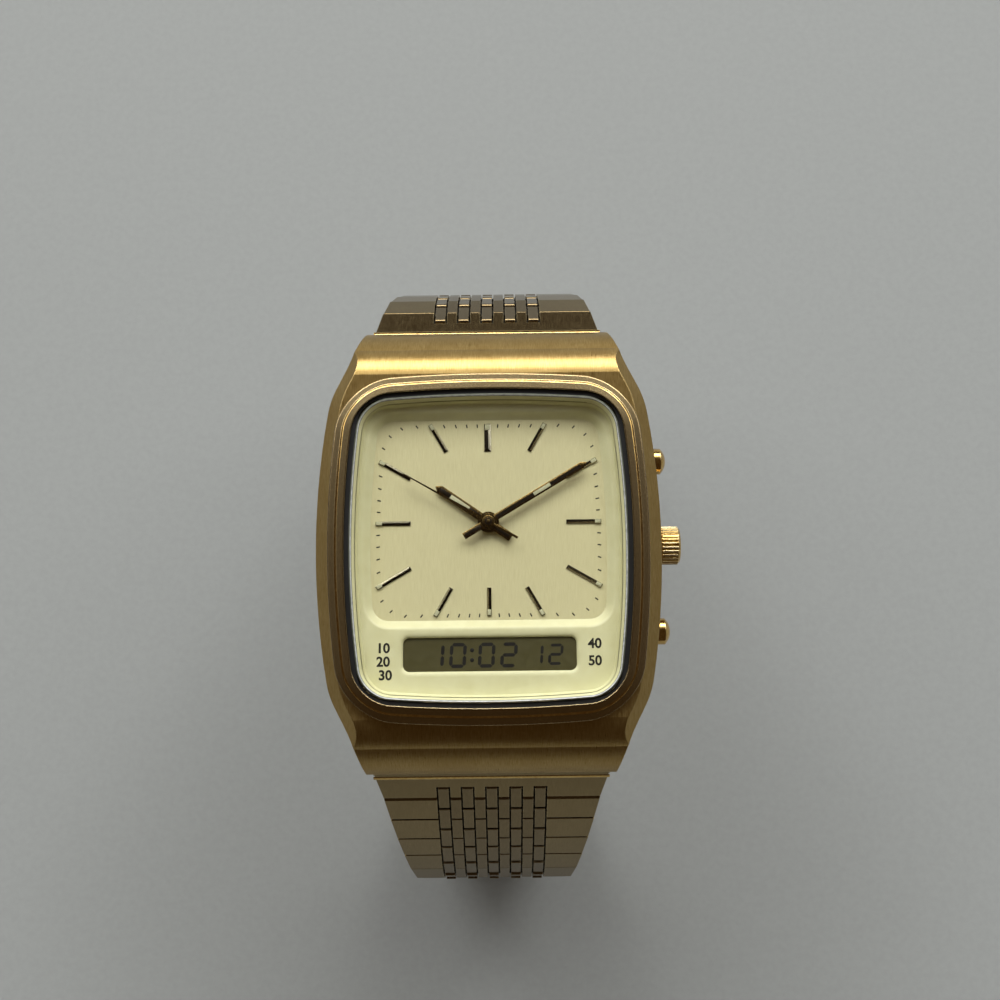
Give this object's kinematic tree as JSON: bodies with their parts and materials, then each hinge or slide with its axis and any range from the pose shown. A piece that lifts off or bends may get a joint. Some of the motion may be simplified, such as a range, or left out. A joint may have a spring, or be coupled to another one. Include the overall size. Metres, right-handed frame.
{
  "type": "wristwatch",
  "caption": "Wristwatch with hands over a small liquid crystal window in a barrel case, with crown, pushers, quartz movement and a tapering link bracelet that closes with a folding clasp.",
  "frame": {"origin": "centre of the case back's outer face", "axes": "+Z out through the dial, +Y towards twelve o'clock, +X towards three o'clock and the crown"},
  "size_m": [0.0361, 0.0667, 0.0465],
  "materials": {
    "gold_brushed": "satin, brushed along the bracelet",
    "gold_polished": "polished",
    "gold_link": "satin",
    "steel_back": "satin",
    "steel_small": "turned",
    "crystal_glass": "polished",
    "black_rubber": "matte",
    "ivory_mask": "satin",
    "champagne_dial": "brushed and lacquered",
    "dark_marker": "gloss",
    "lcd_glass": "gloss",
    "movement_brass": "grained",
    "steel_wheel": "polished",
    "board_green": "solder resist",
    "cell_steel": "polished",
    "copper_coil": "enamelled wire",
    "dark_gold_hand": "polished",
    "buzzer_brass": "satin"
  },
  "bodies": {
    "head": {"case_body": "gold_brushed", "bezel_ring": "gold_brushed", "crystal": "crystal_glass", "case_back": "steel_back", "crystal_gasket": "black_rubber", "dial_mask": "ivory_mask", "dial_plate": "champagne_dial", "hour_markers": "dark_marker", "lcd_panel": "lcd_glass", "lcd_connectors": "black_rubber", "main_plate": "movement_brass", "train_bridge": "movement_brass", "screws": "steel_small", "circuit_board": "board_green", "battery": "cell_steel", "battery_clamp": "steel_small", "motor_coil": "copper_coil", "seal_rings": "black_rubber", "buzzer_disc": "buzzer_brass", "spring_bars": "steel_small", "pusher_spring_upper": "steel_small", "pusher_spring_lower": "steel_small"},
    "end_link_upper": {"end_link_upper": "gold_brushed"},
    "row_upper_1": {"row_upper_1": "gold_link"},
    "row_upper_2": {"row_upper_2": "gold_link"},
    "row_upper_3": {"row_upper_3": "gold_link"},
    "row_upper_4": {"row_upper_4": "gold_link"},
    "row_upper_5": {"row_upper_5": "gold_link"},
    "row_upper_6": {"row_upper_6": "gold_link"},
    "row_upper_7": {"row_upper_7": "gold_link"},
    "row_upper_8": {"row_upper_8": "gold_link"},
    "clasp_hook": {"clasp_hook": "gold_link"},
    "end_link_lower": {"end_link_lower": "gold_brushed"},
    "row_lower_1": {"row_lower_1": "gold_link"},
    "row_lower_2": {"row_lower_2": "gold_link"},
    "row_lower_3": {"row_lower_3": "gold_link"},
    "row_lower_4": {"row_lower_4": "gold_link"},
    "row_lower_5": {"row_lower_5": "gold_link"},
    "row_lower_6": {"row_lower_6": "gold_link"},
    "row_lower_7": {"row_lower_7": "gold_link"},
    "row_lower_8": {"row_lower_8": "gold_link"},
    "row_lower_9": {"row_lower_9": "gold_link"},
    "clasp_base": {"clasp_base": "gold_link"},
    "clasp_lid": {"clasp_lid": "gold_brushed"},
    "stem_yoke": {"stem_yoke": "steel_small"},
    "crown": {"crown": "gold_polished", "setting_stem": "steel_small"},
    "pusher_upper": {"pusher_upper": "gold_polished"},
    "pusher_lower": {"pusher_lower": "gold_polished"},
    "seconds_arbor": {"seconds_wheel": "steel_wheel", "seconds_hand": "dark_gold_hand"},
    "minute_arbor": {"cannon_pinion": "steel_wheel", "minute_hand": "dark_gold_hand"},
    "hour_pipe": {"hour_wheel": "movement_brass", "hour_hand": "dark_gold_hand"},
    "fifth_wheel": {"fifth_wheel": "movement_brass"},
    "motor_rotor": {"motor_rotor": "steel_wheel"},
    "third_wheel": {"third_wheel": "movement_brass"},
    "center_wheel": {"center_wheel": "movement_brass"},
    "minute_wheel": {"minute_wheel": "movement_brass"}
  },
  "joints": [
    {"name": "bracelet_opening", "type": "hinge", "parent": "head", "child": "end_link_upper", "pos_m": [0, 0.021, 0.0008], "axis": [1, 0, 0], "range_deg": [0, 10]},
    {"name": "row_upper_1_hinge", "type": "hinge", "parent": "end_link_upper", "child": "row_upper_1", "pos_m": [0, 0.02408, -0.00056], "axis": [1, 0, 0], "range_deg": [0, 17]},
    {"name": "row_upper_2_hinge", "type": "hinge", "parent": "row_upper_1", "child": "row_upper_2", "pos_m": [0, 0.02642, -0.00355], "axis": [1, 0, 0], "range_deg": [0, 12]},
    {"name": "row_upper_3_hinge", "type": "hinge", "parent": "row_upper_2", "child": "row_upper_3", "pos_m": [0, 0.02808, -0.00697], "axis": [1, 0, 0], "range_deg": [0, 6]},
    {"name": "row_upper_4_hinge", "type": "hinge", "parent": "row_upper_3", "child": "row_upper_4", "pos_m": [0, 0.02938, -0.01054], "axis": [1, 0, 0], "range_deg": [0, 8]},
    {"name": "row_upper_5_hinge", "type": "hinge", "parent": "row_upper_4", "child": "row_upper_5", "pos_m": [0, 0.03017, -0.01426], "axis": [1, 0, 0], "range_deg": [0, 10]},
    {"name": "row_upper_6_hinge", "type": "hinge", "parent": "row_upper_5", "child": "row_upper_6", "pos_m": [0, 0.0303, -0.01806], "axis": [1, 0, 0], "range_deg": [0, 17]},
    {"name": "row_upper_7_hinge", "type": "hinge", "parent": "row_upper_6", "child": "row_upper_7", "pos_m": [0, 0.02834, -0.0254], "axis": [1, 0, 0], "range_deg": [0, 25]},
    {"name": "row_upper_8_hinge", "type": "hinge", "parent": "row_upper_7", "child": "row_upper_8", "pos_m": [0, 0.02345, -0.03122], "axis": [1, 0, 0], "range_deg": [0, 25]},
    {"name": "clasp_hook_hinge", "type": "hinge", "parent": "row_upper_8", "child": "clasp_hook", "pos_m": [0, 0.01656, -0.03443], "axis": [1, 0, 0], "range_deg": [0, 23.97]},
    {"name": "end_link_lower_hinge", "type": "hinge", "parent": "head", "child": "end_link_lower", "pos_m": [0, -0.021, 0.0008], "axis": [-1, 0, 0], "range_deg": [0, 14]},
    {"name": "row_lower_1_hinge", "type": "hinge", "parent": "end_link_lower", "child": "row_lower_1", "pos_m": [0, -0.02366, -0.00126], "axis": [-1, 0, 0], "range_deg": [0, 2]},
    {"name": "row_lower_2_hinge", "type": "hinge", "parent": "row_lower_1", "child": "row_lower_2", "pos_m": [0, -0.02605, -0.00422], "axis": [-1, 0, 0], "range_deg": [0, 2.5]},
    {"name": "row_lower_3_hinge", "type": "hinge", "parent": "row_lower_2", "child": "row_lower_3", "pos_m": [0, -0.02831, -0.00727], "axis": [-1, 0, 0], "range_deg": [0, 3.5]},
    {"name": "row_lower_4_hinge", "type": "hinge", "parent": "row_lower_3", "child": "row_lower_4", "pos_m": [0, -0.03038, -0.01046], "axis": [-1, 0, 0], "range_deg": [0, 3]},
    {"name": "row_lower_5_hinge", "type": "hinge", "parent": "row_lower_4", "child": "row_lower_5", "pos_m": [0, -0.03228, -0.01375], "axis": [-1, 0, 0], "range_deg": [0, 7]},
    {"name": "row_lower_6_hinge", "type": "hinge", "parent": "row_lower_5", "child": "row_lower_6", "pos_m": [0, -0.03376, -0.01725], "axis": [-1, 0, 0], "range_deg": [0, 13]},
    {"name": "row_lower_7_hinge", "type": "hinge", "parent": "row_lower_6", "child": "row_lower_7", "pos_m": [0, -0.03442, -0.02099], "axis": [-1, 0, 0], "range_deg": [0, 15]},
    {"name": "row_lower_8_hinge", "type": "hinge", "parent": "row_lower_7", "child": "row_lower_8", "pos_m": [0, -0.03409, -0.02478], "axis": [-1, 0, 0], "range_deg": [0, 25]},
    {"name": "row_lower_9_hinge", "type": "hinge", "parent": "row_lower_8", "child": "row_lower_9", "pos_m": [0, -0.03029, -0.03136], "axis": [-1, 0, 0], "range_deg": [0, 30]},
    {"name": "clasp_base_hinge", "type": "hinge", "parent": "row_lower_9", "child": "clasp_base", "pos_m": [0, -0.02371, -0.03516], "axis": [-1, 0, 0], "range_deg": [0, 31.03]},
    {"name": "clasp_lid_hinge", "type": "hinge", "parent": "clasp_base", "child": "clasp_lid", "pos_m": [0, -0.02181, -0.03512], "axis": [-1, 0, 0], "range_deg": [0, 85]},
    {"name": "crown_pull", "type": "slide", "parent": "head", "child": "stem_yoke", "axis": [1, 0, 0], "range_m": [0, 0.0009]},
    {"name": "crown_turn", "type": "hinge", "parent": "stem_yoke", "child": "crown", "pos_m": [0, 0, 0.00275], "axis": [1, 0, 0], "continuous": true},
    {"name": "pusher_upper_press", "type": "slide", "parent": "head", "child": "pusher_upper", "axis": [-1, 0, 0], "range_m": [0, 0.0006], "stiffness_N_per_m": 400, "deforming": ["pusher_spring_upper"]},
    {"name": "pusher_lower_press", "type": "slide", "parent": "head", "child": "pusher_lower", "axis": [-1, 0, 0], "range_m": [0, 0.0006], "stiffness_N_per_m": 400, "deforming": ["pusher_spring_lower"]},
    {"name": "seconds_turn", "type": "hinge", "parent": "head", "child": "seconds_arbor", "pos_m": [0, 0.00212, 0], "axis": [0, 0, -1], "continuous": true},
    {"name": "minutes_turn", "type": "hinge", "parent": "head", "child": "minute_arbor", "pos_m": [0, 0.00212, 0], "axis": [0, 0, -1], "continuous": true},
    {"name": "fifth_wheel_turn", "type": "hinge", "parent": "head", "child": "fifth_wheel", "pos_m": [-0.003, 0.00212, 0], "axis": [0, 0, -1], "continuous": true},
    {"name": "motor_rotor_turn", "type": "hinge", "parent": "head", "child": "motor_rotor", "pos_m": [-0.0051, 0.00135, 0], "axis": [0, 0, -1], "continuous": true},
    {"name": "third_wheel_turn", "type": "hinge", "parent": "head", "child": "third_wheel", "pos_m": [0.00306, 0.00212, 0], "axis": [0, 0, -1], "continuous": true},
    {"name": "center_wheel_turn", "type": "hinge", "parent": "head", "child": "center_wheel", "pos_m": [0, 0.00212, 0], "axis": [0, 0, -1], "continuous": true},
    {"name": "minute_wheel_turn", "type": "hinge", "parent": "head", "child": "minute_wheel", "pos_m": [-0.0015, 0.00472, 0], "axis": [0, 0, -1], "continuous": true},
    {"name": "hours_turn", "type": "hinge", "parent": "head", "child": "hour_pipe", "pos_m": [0, 0.00212, 0], "axis": [0, 0, -1], "continuous": true}
  ],
  "couplings": [
    {"joint": "row_upper_1_hinge", "follows": "bracelet_opening", "ratio": 1.7},
    {"joint": "row_upper_2_hinge", "follows": "bracelet_opening", "ratio": 1.2},
    {"joint": "row_upper_3_hinge", "follows": "bracelet_opening", "ratio": 0.6},
    {"joint": "row_upper_4_hinge", "follows": "bracelet_opening", "ratio": 0.8},
    {"joint": "row_upper_5_hinge", "follows": "bracelet_opening", "ratio": 1},
    {"joint": "row_upper_6_hinge", "follows": "bracelet_opening", "ratio": 1.7},
    {"joint": "row_upper_7_hinge", "follows": "bracelet_opening", "ratio": 2.5},
    {"joint": "row_upper_8_hinge", "follows": "bracelet_opening", "ratio": 2.5},
    {"joint": "clasp_hook_hinge", "follows": "bracelet_opening", "ratio": 2.3966},
    {"joint": "end_link_lower_hinge", "follows": "bracelet_opening", "ratio": 1.4},
    {"joint": "row_lower_1_hinge", "follows": "bracelet_opening", "ratio": 0.2},
    {"joint": "row_lower_2_hinge", "follows": "bracelet_opening", "ratio": 0.25},
    {"joint": "row_lower_3_hinge", "follows": "bracelet_opening", "ratio": 0.35},
    {"joint": "row_lower_4_hinge", "follows": "bracelet_opening", "ratio": 0.3},
    {"joint": "row_lower_5_hinge", "follows": "bracelet_opening", "ratio": 0.7},
    {"joint": "row_lower_6_hinge", "follows": "bracelet_opening", "ratio": 1.3},
    {"joint": "row_lower_7_hinge", "follows": "bracelet_opening", "ratio": 1.5},
    {"joint": "row_lower_8_hinge", "follows": "bracelet_opening", "ratio": 2.5},
    {"joint": "row_lower_9_hinge", "follows": "bracelet_opening", "ratio": 3},
    {"joint": "clasp_base_hinge", "follows": "bracelet_opening", "ratio": 3.1034},
    {"joint": "fifth_wheel_turn", "follows": "seconds_turn", "ratio": -5},
    {"joint": "motor_rotor_turn", "follows": "seconds_turn", "ratio": 30},
    {"joint": "third_wheel_turn", "follows": "seconds_turn", "ratio": -0.13333},
    {"joint": "center_wheel_turn", "follows": "seconds_turn", "ratio": 0.016667},
    {"joint": "minute_wheel_turn", "follows": "minutes_turn", "ratio": -0.33333},
    {"joint": "hours_turn", "follows": "minutes_turn", "ratio": 0.083333}
  ]
}
